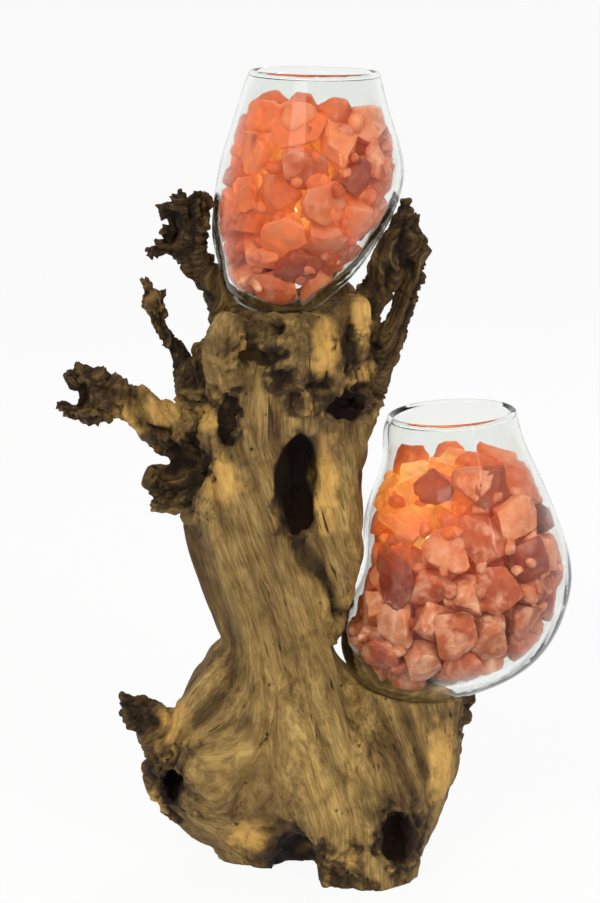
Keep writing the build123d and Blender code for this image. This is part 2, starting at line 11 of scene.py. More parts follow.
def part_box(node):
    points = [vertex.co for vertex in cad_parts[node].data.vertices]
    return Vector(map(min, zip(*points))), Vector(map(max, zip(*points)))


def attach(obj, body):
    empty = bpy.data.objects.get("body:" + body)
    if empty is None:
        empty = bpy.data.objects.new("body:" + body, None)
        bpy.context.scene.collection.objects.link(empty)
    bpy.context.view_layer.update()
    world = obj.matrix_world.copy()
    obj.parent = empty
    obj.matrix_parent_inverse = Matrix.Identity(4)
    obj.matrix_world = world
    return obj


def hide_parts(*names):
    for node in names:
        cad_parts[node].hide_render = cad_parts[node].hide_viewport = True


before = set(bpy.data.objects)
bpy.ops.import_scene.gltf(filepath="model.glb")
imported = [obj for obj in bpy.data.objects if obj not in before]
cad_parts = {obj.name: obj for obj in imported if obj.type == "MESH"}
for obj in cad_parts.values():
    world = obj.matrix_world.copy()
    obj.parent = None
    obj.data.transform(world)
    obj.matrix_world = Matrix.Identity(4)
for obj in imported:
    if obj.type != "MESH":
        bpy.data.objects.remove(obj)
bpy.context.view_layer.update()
print("frame loaded", len(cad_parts), "nodes")


# Small helpers

def newMaterial(name):
    material = bpy.data.materials.new(name)
    material.use_nodes = True
    return material, material.node_tree, material.node_tree.nodes["Principled BSDF"]


def newGroup(name, given, returned):
    group = bpy.data.node_groups.new(name, "ShaderNodeTree")
    for way, sockets in (("INPUT", given), ("OUTPUT", returned)):
        for label, kind in sockets.items():
            group.interface.new_socket(label, in_out=way, socket_type="NodeSocket" + kind)
    return group, group.nodes.new("NodeGroupInput"), group.nodes.new("NodeGroupOutput")


def plug(tree, socket, value):
    if isinstance(value, bpy.types.NodeSocket):
        tree.links.new(value, socket)
    else:
        socket.default_value = value


def plugAll(tree, node, inputs):
    for key, value in inputs.items():
        plug(tree, node.inputs[key], value)


def addNode(tree, kind, inputs=None, **settings):
    node = tree.nodes.new("ShaderNode" + kind)
    for key, value in settings.items():
        setattr(node, key, value)
    plugAll(tree, node, inputs or {})
    return node


def combine(tree, operation, *parts, clamp=False):
    return addNode(tree, "Math", dict(enumerate(parts)), operation=operation, use_clamp=clamp).outputs[0]


def inRange(tree, value, low, high, start=0.0, end=1.0):
    ends = {"Value": value, "From Min": low, "From Max": high, "To Min": start, "To Max": end}
    return addNode(tree, "MapRange", ends, clamp=True).outputs[0]


def noiseAt(tree, place, scale, detail, roughness=0.5, distortion=0.0):
    inputs = {"Scale": scale, "Detail": detail, "Roughness": roughness, "Distortion": distortion}
    return addNode(tree, "TexNoise", {"Vector": place} | inputs).outputs["Fac"]


def colourRamp(tree, factor, stops):
    node = addNode(tree, "ValToRGB", {"Fac": factor})
    elements = node.color_ramp.elements
    while len(elements) < len(stops):
        elements.new(0.5)
    for element, (place, colour) in zip(elements, stops):
        element.position = place
        element.color = (*colour, 1)
    return node.outputs["Color"]


mixSockets = {"share": 0, "first": 6, "second": 7, "result": 2}  # places of a Mix node's colour sockets


def blendColours(tree, share, first, second, mode="MIX"):
    node = addNode(tree, "Mix", data_type="RGBA", blend_type=mode)
    for name, value in (("share", share), ("first", first), ("second", second)):
        plug(tree, node.inputs[mixSockets[name]], (*value, 1) if isinstance(value, tuple) else value)
    return node.outputs[mixSockets["result"]]


def addBump(tree, surface, height, strength, distance):
    bump = addNode(tree, "Bump", {"Strength": strength, "Distance": distance, "Height": height})
    tree.links.new(bump.outputs["Normal"], surface.inputs["Normal"])


def mixSurface(tree, share, first, second):
    mixed = addNode(tree, "MixShader", {0: share, 1: first.outputs[0], 2: second.outputs[0]})
    tree.links.new(mixed.outputs[0], tree.nodes["Material Output"].inputs["Surface"])


def dress(nodeName, material):
    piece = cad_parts[nodeName]
    piece.data.materials.clear()
    piece.data.materials.append(material)


weldSpan = 0.00002


def copyOf(nodeName):
    shape = bmesh.new()
    shape.from_mesh(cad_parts[nodeName].data)
    bmesh.ops.remove_doubles(shape, verts=shape.verts, dist=weldSpan)
    return shape


def placePiece(name, mesh, material, body, *standsFor):
    piece = bpy.data.objects.new(name, mesh)
    bpy.context.collection.objects.link(piece)
    mesh.materials.clear()
    mesh.materials.append(material)
    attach(piece, body)
    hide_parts(*standsFor)


# Camera, floor and light

view = {
    "place": (-0.0132, -1.610, 0.707),
    "pitch": 13.5,
    "focalPixels": 2250,
    "imageHeight": 903,
    "sensor": 36,
    "nearest": 0.02,
}

camera = bpy.data.objects.new("camera", bpy.data.cameras.new("camera"))
bpy.context.collection.objects.link(camera)
camera.location = view["place"]
camera.rotation_euler = (math.radians(90 - view["pitch"]), 0, 0)
camera.data.sensor_fit = "VERTICAL"
camera.data.sensor_height = view["sensor"]
camera.data.lens = view["sensor"] * view["focalPixels"] / view["imageHeight"]
camera.data.clip_start = view["nearest"]
bpy.context.scene.camera = camera
bpy.context.scene.view_settings.view_transform = "Standard"

stageLook = {
    "floorRadius": 60,
    "floorSides": 96,
    "floorColour": (0.86, 0.86, 0.85),
    "floorRoughness": 0.7,
    "floorSheen": 0.1,
    "whiteShare": 0.92,  # how much of the floor's shade the camera doesn't see
    "worldLight": 0.45,
    "aim": (0, 0, 0.3),
}


def backdropRays(tree):
    paths = addNode(tree, "LightPath").outputs
    seen = combine(tree, "MAXIMUM", paths["Is Camera Ray"], paths["Is Transmission Ray"])
    return combine(tree, "MAXIMUM", seen, paths["Is Glossy Ray"])


shape = bmesh.new()
bmesh.ops.create_circle(shape, cap_ends=True, segments=stageLook["floorSides"],
                        radius=stageLook["floorRadius"])
floorMesh = bpy.data.meshes.new("floor")
shape.to_mesh(floorMesh)
shape.free()
floor = bpy.data.objects.new("floor", floorMesh)
bpy.context.collection.objects.link(floor)
floorMaterial, tree, surface = newMaterial("paleFloor")
plugAll(tree, surface, {
    "Base Color": (*stageLook["floorColour"], 1),
    "Roughness": stageLook["floorRoughness"],
    "Specular IOR Level": stageLook["floorSheen"],
})
white = addNode(tree, "Emission", {"Color": (1, 1, 1, 1), "Strength": 1})
mixSurface(tree, combine(tree, "MULTIPLY", backdropRays(tree), stageLook["whiteShare"]), surface, white)
floorMesh.materials.append(floorMaterial)

world = bpy.data.worlds.new("studio")
bpy.context.scene.world = world
world.use_nodes = True
tree = world.node_tree
strength = inRange(tree, backdropRays(tree), 0, 1, stageLook["worldLight"], 1)
plugAll(tree, tree.nodes["Background"], {"Color": (1, 1, 1, 1), "Strength": strength})

# Place, width and height, power, colour, and whether it shows in shiny surfaces
lamps = {
    "keyLight": ((-0.8, -1.9, 1.9), (0.9, 0.9), 34, (1, 0.96, 0.9), False),
    "fillLight": ((1.2, -1.6, 0.9), (0.1, 0.8), 10.6, (1, 0.98, 0.95), False),
    "glint": ((1.2, -1.6, 0.9), (0.03, 0.22), 0.6, (1, 1, 1), True),
    "backLight": ((0.7, 1.7, 1.7), (0.9, 0.9), 14, (1, 1, 1), False),
}
for name, (place, size, power, colour, shine) in lamps.items():
    light = bpy.data.lights.new(name, "AREA")
    light.shape = "RECTANGLE"
    light.size, light.size_y = size
    light.energy = power
    light.color = colour
    lightObject = bpy.data.objects.new(name, light)
    bpy.context.collection.objects.link(lightObject)
    lightObject.location = place
    aim = Vector(stageLook["aim"]) - Vector(place)
    lightObject.rotation_euler = aim.to_track_quat("-Z", "Y").to_euler()
    lightObject.visible_glossy = shine
print("stage ready")


# Driftwood root

root = {
    "seed": 7,  # of the vector noise, which otherwise differs from run to run
    "voxel": 0.0021,
    "grainStretch": 0.1,
    "grainLean": 0.32,  # how far the trunk's grain runs to the right on its way down
    "leanSpan": (0.05, 0.34),  # heights between which the trunk's grain leans
    "leftFoot": (-0.01, 0.1),  # where the left foot's own grain starts, and over what length
    "footTop": (0.2, 0.1),
    "footLean": (0.24, 0.55, 0.19),
    "collar": 0.004,  # over which a branch's grain takes over from the trunk's
    "collarSpan": (-30, 4),
    "ragged": ((75, 1), (190, 0.6)),  # scale and share of the noise that frays all edges
    "wander": (24, 0.004),  # scale and reach of the strands' wandering
    "foldHeight": 0.0034,  # broad folds along the grain
    "foldScale": 26,
    "swell": (30, 0.5),
    "ridgeHeight": 0.0021,
    "ridgeScale": 70,
    "fibreHeight": 0.0006,
    "fibreScale": 210,
    "cragHeight": 0.013,  # rounded lobes and sharp creases of the crown, knuckle and torn ends
    "cragScale": 46,
    "cragShare": 0.8,
    "cragCalm": 0.75,  # how far crags smooth out the ridges
    "lobeMix": (0.6, 0.4),  # how much lobes follow the place and the grain
    "lobeWander": (45, 0.007),
    "lobeFine": ((2.1, 0.5), (4.3, 0.35)),
    "lobeMiddle": (0.2, 0.17),
    "barkHeight": 0.0075,
    "barkFine": 0.3,
    "barkMiddle": 0.06,
    "patchDepth": 0.006,
    "creviceDepth": 1.25,  # against a patch
    "creviceEdge": 1.4,
    "creviceFray": 0.25,
    "creviceBack": 0.02,
    "creviceShade": 0.85,
    "mostOut": 0.0034,
    "blockLeast": 0.02,
    "blockMix": (0.35, 0.65),
    "blockWander": (60, 0.006),
    "blockScale": 95,  # size of the broken blocks of wood, per metre
    "blockHeight": 0.0026,
    "blockCrack": 0.0036,
    "crackWidth": 0.12,
    "toneScale": 7.3,
    "creaseShare": 0.5,
    "creaseMask": 0.7,
    "goldOverHollow": 0.85,
    # brokenShade and soundShade set the painted shade laid into the sunk relief
    "brokenShade": (0.45, 0.006),  # shade at the level surface, and how deep the darkest lies
    "soundShade": (0.36, 0.016),
    "creaseBroken": 1.6,
    "patchShade": (0.8, 0.5),
    "glassReach": 0.014,
    "glassGap": 0.0004,
    "flatFoot": 0.0012,
}
# How ragged and how sharp the edge of each kind of place is
edges = {
    "crag": (0.5, 2),
    "hollow": (0.3, 3.2),
    "patch": (0.5, 2.2),
    "gold": (0.5, 1.6),
    "creased": (0.4, 1.6),
}

# Straight pieces of branch whose grain runs their own way: start, end, thickness, in metres
branchLines = [
    ((-0.07, -0.006, 0.3), (-0.126, -0.015, 0.306), 0.016),
    ((-0.078, -0.004, 0.316), (-0.15, -0.008, 0.362), 0.014),
    ((-0.15, -0.008, 0.364), (-0.19, -0.01, 0.372), 0.012),
    ((-0.068, -0.004, 0.356), (-0.1, -0.007, 0.39), 0.016),
    ((-0.1, -0.007, 0.392), (-0.126, -0.008, 0.45), 0.006),
    ((-0.054, 0.01, 0.404), (-0.09, 0.013, 0.46), 0.011),
    ((-0.088, 0.01, 0.46), (-0.124, 0.005, 0.468), 0.009),
    ((-0.088, 0.011, 0.466), (-0.1, 0.005, 0.514), 0.012),
    ((0.02, -0.004, 0.385), (0.062, -0.003, 0.5), 0.013),
    ((0.036, -0.006, 0.372), (0.076, -0.003, 0.475), 0.009),
    ((-0.096, -0.006, 0.09), (-0.15, -0.007, 0.134), 0.014),
    ((0.075, 0.018, 0.09), (0.118, 0.025, 0.137), 0.016),
]
cragSpots = [  # middle and reach of the broken, knobbly wood
    ((-0.095, 0.008, 0.488), (0.042, 0.03, 0.04)), ((-0.112, -0.008, 0.42), (0.03, 0.02, 0.04)),
    ((-0.165, -0.01, 0.368), (0.04, 0.03, 0.026)), ((-0.104, -0.02, 0.312), (0.03, 0.03, 0.026)),
    ((-0.146, -0.007, 0.128), (0.026, 0.02, 0.024)), ((0.06, -0.003, 0.47), (0.04, 0.03, 0.06)),
    ((0.1, 0.024, 0.118), (0.036, 0.03, 0.034)), ((-0.082, -0.006, 0.37), (0.018, 0.03, 0.024)),
    ((-0.04, -0.05, 0.401), (0.02, 0.03, 0.009)), ((-0.024, -0.05, 0.386), (0.015, 0.03, 0.011)),
    ((-0.014, -0.05, 0.37), (0.011, 0.03, 0.011)), ((0.006, -0.045, 0.384), (0.016, 0.03, 0.007)),
    ((0.032, -0.03, 0.4), (0.022, 0.03, 0.024)), ((0.02, -0.04, 0.366), (0.026, 0.03, 0.013)),
    ((-0.058, -0.03, 0.406), (0.008, 0.03, 0.018)), ((-0.066, -0.04, 0.354), (0.012, 0.02, 0.018)),
    ((-0.02, 0.05, 0.4), (0.06, 0.03, 0.03)), ((-0.012, -0.05, 0.012), (0.05, 0.03, 0.026)),
    ((-0.112, -0.02, 0.07), (0.026, 0.03, 0.026)), ((0.062, -0.05, 0.036), (0.022, 0.03, 0.028)),
]
creasedSpots = [  # middle and reach of the folded wood around them
    ((-0.02, -0.01, 0.41), (0.08, 0.08, 0.035)), ((0.02, -0.04, 0.372), (0.034, 0.04, 0.026)),
    ((-0.075, -0.03, 0.33), (0.03, 0.04, 0.035)), ((-0.11, -0.02, 0.075), (0.04, 0.04, 0.04)),
    ((-0.02, -0.05, 0.012), (0.06, 0.04, 0.034)), ((0.06, -0.05, 0.04), (0.034, 0.04, 0.038)),
]
# Hollows get painted shade: umber at the rim, black inside
shadedHollows = [  # middle and half sizes
    ((-0.014, -0.03, 0.308), (0.0185, 0.05, 0.043)), ((0.018, -0.03, 0.363), (0.018, 0.03, 0.011)),
    ((-0.108, -0.026, 0.07), (0.012, 0.02, 0.017)), ((0.06, -0.056, 0.04), (0.013, 0.02, 0.023)),
    ((-0.02, -0.05, 0.004), (0.025, 0.06, 0.036)), ((-0.104, -0.024, 0.314), (0.013, 0.014, 0.012)),
]
# The crevice is pushed into the wood and darkened with painted shade
crevice = [  # X, Z and half width, from the great hollow down
    (-0.013, 0.285, 0.0085), (-0.011, 0.262, 0.007), (-0.005, 0.246, 0.0052), (0.003, 0.232, 0.0042),
    (0.012, 0.216, 0.0036), (0.017, 0.2, 0.003),
]
# The sunk patches are pushed in and darkened with painted shade
sunkPatches = [  # middle and half sizes of the shallow dark places
    ((-0.092, -0.03, 0.32), (0.016, 0.02, 0.016)), ((-0.066, -0.042, 0.355), (0.006, 0.014, 0.014)),
    ((0.02, -0.04, 0.411), (0.0045, 0.02, 0.018)), ((0.042, -0.03, 0.426), (0.0035, 0.02, 0.02)),
    ((-0.059, -0.03, 0.407), (0.0045, 0.02, 0.016)), ((-0.041, -0.05, 0.401), (0.01, 0.02, 0.0045)),
    ((-0.026, -0.05, 0.388), (0.008, 0.02, 0.005)), ((-0.017, -0.05, 0.372), (0.0045, 0.02, 0.008)),
    ((-0.002, -0.05, 0.38), (0.009, 0.02, 0.0035)), ((-0.03, -0.05, 0.424), (0.006, 0.02, 0.0045)),
    ((0.032, -0.035, 0.376), (0.009, 0.02, 0.0035)), ((-0.116, -0.016, 0.342), (0.011, 0.014, 0.004)),
    ((-0.172, -0.016, 0.366), (0.006, 0.014, 0.007)), ((-0.104, 0, 0.486), (0.005, 0.014, 0.01)),
    ((-0.09, 0, 0.5), (0.004, 0.014, 0.009)), ((0.062, -0.014, 0.47), (0.004, 0.014, 0.016)),
    ((0.05, -0.014, 0.452), (0.004, 0.014, 0.014)), ((-0.05, -0.06, 0.008), (0.006, 0.014, 0.006)),
]
# Honey-coloured patches on the rims of hollows and knobs: partly the wood's own tone, partly painted
# highlight
goldAndHighlightSpots = [  # middle and reach of the honey-coloured patches
    ((0.0045, -0.04, 0.302), (0.0095, 0.06, 0.03)), ((0.0045, -0.045, 0.406), (0.011, 0.03, 0.017)),
    ((0.031, -0.03, 0.424), (0.01, 0.03, 0.02)), ((0.034, -0.03, 0.386), (0.008, 0.03, 0.007)),
    ((-0.053, -0.04, 0.403), (0.006, 0.03, 0.008)), ((-0.125, -0.015, 0.352), (0.024, 0.02, 0.013)),
    ((-0.07, -0.045, 0.31), (0.012, 0.03, 0.018)), ((-0.079, -0.03, 0.352), (0.008, 0.03, 0.008)),
    ((-0.052, -0.05, 0.03), (0.018, 0.03, 0.016)), ((0.092, -0.02, 0.09), (0.01, 0.04, 0.034)),
    ((-0.1, -0.012, 0.115), (0.018, 0.03, 0.016)),
]


def followGrain(points):
    x, y, z = points.T
    stretch = root["grainStretch"]
    leftStart, leftSpan = root["leftFoot"]
    topStart, topSpan = root["footTop"]
    firstLean, footLean, footHeight = root["footLean"]
    lean = root["grainLean"] * np.clip(z, *root["leanSpan"])
    leftward = np.clip((leftStart - x) / leftSpan, 0, 1) * np.clip((topStart - z) / topSpan, 0, 1)
    footShift = firstLean * root["grainLean"] + footLean * (footHeight - z)
    shift = lean * (1 - leftward) + leftward * footShift
    flows = [np.stack([x + shift, y, z * stretch], axis=1)]
    away = [np.full(len(points), root["collar"])]
    for start, end, thickness in branchLines:
        start, end = np.array(start), np.array(end)
        length = np.linalg.norm(end - start)
        direction = (end - start) / length
        travel = (points - start) @ direction
        nearest = start + np.clip(travel, 0, length)[:, None] * direction
        away.append(np.linalg.norm(points - nearest, axis=1) - thickness)
        flows.append(points - direction * (travel * (1 - stretch))[:, None])
    weights = np.exp(np.clip(-np.array(away) / root["collar"], *root["collarSpan"]))
    weights /= weights.sum(axis=0)
    return np.einsum("ln,lnc->nc", weights, np.array(flows)), 1 - weights[0]


def nearness(points, spots, ragged, kind):
    fray, sharpness = edges[kind]
    best = np.zeros(len(points))
    for middle, reach in spots:
        away = np.linalg.norm((points - np.array(middle)) / np.array(reach), axis=1)
        best = np.maximum(best, np.clip(0.5 + sharpness * (1 - away * (1 + fray * ragged)), 0, 1))
    return best


def alongCrevice(points, normals, ragged):
    best = np.zeros(len(points))
    for (startX, startZ, startWidth), (endX, endZ, endWidth) in zip(crevice, crevice[1:]):
        start = np.array((startX, startZ))
        reach = np.array((endX, endZ)) - start
        flat = points[:, [0, 2]] - start
        travel = np.clip(flat @ reach / (reach @ reach), 0, 1)
        away = np.linalg.norm(flat - travel[:, None] * reach, axis=1)
        width = startWidth + travel * (endWidth - startWidth)
        frayed = away * (1 + root["creviceFray"] * ragged)
        best = np.maximum(best, np.clip(root["creviceEdge"] - frayed / width, 0, 1))
    return best * (normals[:, 1] < 0) * (points[:, 1] < root["creviceBack"])


def remeshRoot():
    shape = copyOf("driftwood_root")
    mesh = bpy.data.meshes.new("driftwood")
    shape.to_mesh(mesh)
    shape.free()
    block = bpy.data.objects.new("driftwoodBlock", mesh)
    bpy.context.collection.objects.link(block)
    remesh = block.modifiers.new("remesh", "REMESH")
    remesh.mode = "VOXEL"
    remesh.voxel_size = root["voxel"]
    remesh.use_smooth_shade = True
    ready = block.evaluated_get(bpy.context.evaluated_depsgraph_get())
    carved = bpy.data.meshes.new_from_object(ready)
    bpy.data.objects.remove(block)
    carved.name = "driftwood"
    return carved


def readVectors(rows, name):
    values = np.empty(len(rows) * 3)
    rows.foreach_get(name, values)
    return values.reshape(-1, 3)


def raggedAt(place):
    return sum(share * noise.noise(place * scale) for scale, share in root["ragged"])


def wander(place, kind):
    scale, reach = root[kind]
    return reach * noise.noise_vector(place * scale)


def reliefAt(place, flow, crag, creased, bark, patch):
    strand = flow + wander(place, "wander")
    swellScale, swell = root["swell"]
    fold = noise.noise(strand * root["foldScale"]) + swell * noise.noise(place * swellScale)
    ridge = 0.5 - abs(noise.noise(strand * root["ridgeScale"])) * 2
    fibre = noise.noise(strand * root["fibreScale"])
    byPlace, byGrain = root["lobeMix"]
    lobe = (byPlace * place + byGrain * strand + wander(place, "lobeWander")) * root["cragScale"]
    (fineScale, fineShare), (finestScale, finestShare) = root["lobeFine"]
    broadMiddle, roughMiddle = root["lobeMiddle"]
    broad = abs(noise.noise(lobe)) - broadMiddle
    fine = abs(noise.noise(lobe * fineScale))
    rough = broad + fineShare * fine + finestShare * abs(noise.noise(lobe * finestScale)) - roughMiddle
    return (
        root["foldHeight"] * fold
        - root["ridgeHeight"] * ridge * (1 - root["cragCalm"] * crag)
        + root["fibreHeight"] * fibre
        + root["cragHeight"] * rough * max(root["cragShare"] * crag, creased) * (1 - bark)
        + root["barkHeight"] * (broad + root["barkFine"] * fine - root["barkMiddle"]) * bark
        - root["patchDepth"] * patch
    )


def blockAt(place, flow):
    byPlace, byGrain = root["blockMix"]
    spot = byPlace * place + byGrain * flow + wander(place, "blockWander")
    spans, middles = noise.voronoi(spot * root["blockScale"])
    crack = math.exp(-(spans[1] - spans[0]) / root["crackWidth"])
    tone = noise.cell(middles[0] * root["toneScale"])
    return tone, root["blockHeight"] * tone * 0.5 - root["blockCrack"] * crack


def clearOfGlass(moved):
    for nodeName in ("upper_glass_vessel", "lower_glass_vessel"):
        vessel = copyOf(nodeName)
        tree = BVHTree.FromBMesh(vessel)
        for index, place in enumerate(moved):
            spot, normal, _, _ = tree.find_nearest(Vector(place), root["glassReach"])
            if spot is None:
                continue
            if (Vector(place) - spot).dot(normal) < root["glassGap"]:
                moved[index] = spot + normal * root["glassGap"]
        vessel.free()


def shadeOf(push, kind):
    level, depth = root[kind]
    return np.clip(level - push / depth, 0, 1)


def carveRoot():
    noise.seed_set(root["seed"])
    carved = remeshRoot()
    points = readVectors(carved.vertices, "co")
    normals = readVectors(carved.vertex_normals, "vector")
    grain, bark = followGrain(points)
    ragged = np.array([raggedAt(Vector(spot)) for spot in points])
    crag = nearness(points, cragSpots, ragged, "crag")
    gold = nearness(points, goldAndHighlightSpots, ragged, "gold")
    hollow = nearness(points, shadedHollows, ragged, "hollow") * (1 - root["goldOverHollow"] * gold)
    fissure = alongCrevice(points, normals, ragged)
    patch = np.maximum(nearness(points, sunkPatches, ragged, "patch"), root["creviceDepth"] * fissure)
    creased = root["creaseShare"] * nearness(points, creasedSpots, ragged, "creased")
    count = len(points)
    push = np.empty(count)
    blockTone = np.zeros(count)
    for index in range(count):
        place, flow = Vector(points[index]), Vector(grain[index])
        push[index] = reliefAt(place, flow, crag[index], creased[index], bark[index], patch[index])
        if crag[index] > root["blockLeast"]:
            blockTone[index], height = blockAt(place, flow)
            push[index] += crag[index] * height
    push = np.minimum(push, root["mostOut"])
    moved = points + normals * push[:, None]
    moved[points[:, 2] < root["flatFoot"], 2] = 0
    low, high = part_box("driftwood_root")
    moved = np.clip(moved, np.array(low), np.array(high))
    clearOfGlass(moved)
    carved.vertices.foreach_set("co", moved.ravel())
    # deep is painted shade: the crease colour goes where the relief is pushed in, more in broken wood
    broken = np.clip(np.maximum(crag, bark) + root["creaseBroken"] * creased, 0, 1)
    deep = broken * shadeOf(push, "brokenShade") + (1 - broken) * shadeOf(push, "soundShade")
    # painted shade also over the sunk patches and along the crevice
    patchShade, patchFray = root["patchShade"]
    deep = np.maximum(deep, patch * np.clip(patchShade + patchFray * ragged, 0, 1))
    deep = np.maximum(deep, root["creviceShade"] * fissure)
    # woodMask: broken wood, honey patches with painted highlight, painted shade of the relief, painted
    # shade of the hollows
    masks = np.stack([np.maximum(crag, root["creaseMask"] * creased), gold, deep, hollow], axis=1)
    for name, kind, key, values in (
        ("woodMask", "FLOAT_COLOR", "color", masks),
        ("barkShade", "FLOAT", "value", bark),
        ("blockTone", "FLOAT", "value", blockTone * 0.5 + 0.5),
        ("grainFlow", "FLOAT_VECTOR", "vector", grain),
    ):
        carved.attributes.new(name, kind, "POINT").data.foreach_set(key, values.ravel())
    carved.update()
    print("driftwood carved", count, "points", len(carved.polygons), "faces")
    return carved


woodColours = {
    "pale": (0.455, 0.312, 0.117),
    "tan": (0.275, 0.181, 0.061),
    "umber": (0.085, 0.048, 0.018),
    "purple": (0.14, 0.08, 0.042),
    # black is the bark's darkest tone, and the painted shade of cracks, worm holes and hollows
    "black": (0.013, 0.006, 0.003),
    # crease is the darkest tone of broken wood, and also the painted shade of the sunk relief
    "crease": (0.019, 0.0105, 0.005),
    # honey is a tone of broken wood, and also the painted highlight on rims
    "honey": (0.68, 0.41, 0.115),
}
woodRamps = {
    "sound": ((0.33, "umber"), (0.46, "tan"), (0.66, "pale")),
    "broken": ((0.38, "crease"), (0.5, "umber"), (0.6, "tan"), (0.72, "honey")),
    "bark": ((0.38, "black"), (0.52, "umber"), (0.68, "tan")),
}
# Stops of the shades that are multiplied in, and how much each counts
woodShades = {
    "broad": (0.9, [(0.37, (0.42, 0.36, 0.33)), (0.5, (0.95, 0.94, 0.93)), (0.64, (1.2, 1.2, 1.14))]),
    "fibre": (0.85, [(0.32, (0.66, 0.63, 0.6)), (0.6, (1.08, 1.07, 1.06))]),
    "mottle": (0.85, [(0.36, (0.6, 0.56, 0.52)), (0.5, (0.97, 0.96, 0.95)), (0.64, (1.12, 1.12, 1.12))]),
}
# Scale per metre, detail, roughness and distortion, along the grain and across it
grainNoises = {
    "streak": (140, 9, 0.72, 0.35),
    "broad": (42, 4, 0.55, 0.25),
    "fibre": (620, 4, 0.65),
    "check": (300, 2, 0.5, 0.5),
}
placeNoises = {
    "cloud": (15, 5, 0.6),
    "stain": (70, 6, 0.65, 0.8),
    "mottle": (52, 7, 0.62, 0.5),
    "gnarl": (210, 5, 0.6, 1.2),
}
# From where to where a noise or a mask counts, and how much at either end
woodRanges = {
    "purple": (0.5, 0.7, 0, 0.32),
    "blockStain": (0, 1, -0.08, 0.92),
    "crag": (0.08, 0.6, 0, 0.92),
    "bark": (0.2, 0.8, 0, 0.86),
    "barkStain": (0.3, 0.44, 0.55),
    "goldStain": (0.24, 0.44),
    "gold": (0, 1, 0, 0.92),
    # painted shade of the sunk relief
    "deep": (0.45, 0.95, 0, 0.95),
    # painted shade: black in the cracks and the worm holes
    "slit": (0.33, 0.26, 0, 0.9),
    "worm": (0.1, 0.06, 0, 0.85),
    "wormCloud": (0.46, 0.52),
    # painted shade of the hollows, umber at the rim and black inside
    "hollowRimShade": (0.05, 0.45, 0, 0.9),
    "hollowInnerShade": (0.4, 0.95, 0, 0.98),
    "gnarl": (0.1, 0.5, 0, 2.2),
}
woodLook = {
    "wormScale": 60,
    "blockShare": 0.16,
    "goldFibre": 0.45,  # how far the shades go on over the gold
    "goldBroad": 0.5,
    "streakHeight": 0.6,
    "bump": (0.8, 0.0016),
    "surface": {"Roughness": 0.74, "Specular IOR Level": 0.28},
}


def woodMaterial():
    material, tree, surface = newMaterial("weatheredDriftwood")
    masks = addNode(tree, "Attribute", attribute_name="woodMask").outputs
    split = addNode(tree, "SeparateColor", {"Color": masks["Color"]}).outputs
    crag, gold, deep, hollow = split["Red"], split["Green"], split["Blue"], masks["Alpha"]
    bark = addNode(tree, "Attribute", attribute_name="barkShade").outputs["Fac"]
    blocks = addNode(tree, "Attribute", attribute_name="blockTone").outputs["Fac"]
    flow = addNode(tree, "Attribute", attribute_name="grainFlow").outputs["Vector"]
    place = addNode(tree, "TexCoord").outputs["Object"]
    noises = {name: noiseAt(tree, flow, *values) for name, values in grainNoises.items()}
    noises |= {name: noiseAt(tree, place, *values) for name, values in placeNoises.items()}
    wormInputs = {"Vector": place, "Scale": woodLook["wormScale"], "Randomness": 1}
    holes = addNode(tree, "TexVoronoi", wormInputs).outputs["Distance"]

    def share(value, name):
        return inRange(tree, value, *woodRanges[name])

    def ramp(value, name):
        return colourRamp(tree, value, [(stop, woodColours[colour]) for stop, colour in woodRamps[name]])

    def cover(base, value, colour):
        return blendColours(tree, value, base, woodColours[colour])

    base = cover(ramp(noises["streak"], "sound"), share(noises["cloud"], "purple"), "purple")
    shades = {}
    for name, (counts, stops) in woodShades.items():
        shades[name] = colourRamp(tree, noises[name], stops)
        base = blendColours(tree, counts, base, shades[name], "MULTIPLY")
    blockStain = share(noises["stain"], "blockStain")
    blocks = combine(tree, "MULTIPLY_ADD", blocks, woodLook["blockShare"], blockStain)
    base = blendColours(tree, share(crag, "crag"), base, ramp(blocks, "broken"))
    barkMask = combine(tree, "MULTIPLY", share(bark, "bark"), share(noises["stain"], "barkStain"))
    base = blendColours(tree, barkMask, base, ramp(noises["streak"], "bark"))
    # honey patches: partly the wood's tone, partly painted highlight
    goldMask = combine(tree, "MULTIPLY", gold, share(noises["stain"], "goldStain"))
    base = cover(base, share(goldMask, "gold"), "honey")
    base = blendColours(tree, woodLook["goldFibre"], base, shades["fibre"], "MULTIPLY")
    base = blendColours(tree, woodLook["goldBroad"], base, shades["broad"], "MULTIPLY")
    # painted shade where the relief sinks in
    base = cover(base, share(deep, "deep"), "crease")
    # painted shade: black in the cracks and worm holes, which the bump also presses in
    slits = share(noises["check"], "slit")
    base = cover(base, slits, "black")
    worm = combine(tree, "MULTIPLY", share(holes, "worm"), share(noises["cloud"], "wormCloud"))
    base = cover(base, worm, "black")
    # painted shade of the hollows
    base = cover(base, share(hollow, "hollowRimShade"), "umber")
    base = cover(base, share(hollow, "hollowInnerShade"), "black")
    plugAll(tree, surface, {"Base Color": base} | woodLook["surface"])
    height = combine(tree, "MULTIPLY_ADD", noises["streak"], woodLook["streakHeight"], noises["fibre"])
    height = combine(tree, "SUBTRACT", height, slits)
    height = combine(tree, "SUBTRACT", height, worm)
    height = combine(tree, "MULTIPLY_ADD", noises["gnarl"], share(crag, "gnarl"), height)
    addBump(tree, surface, height, *woodLook["bump"])
    return material


placePiece("driftwood", carveRoot(), woodMaterial(), "stand", "driftwood_root")
print("driftwood dressed")


# Salt lumps

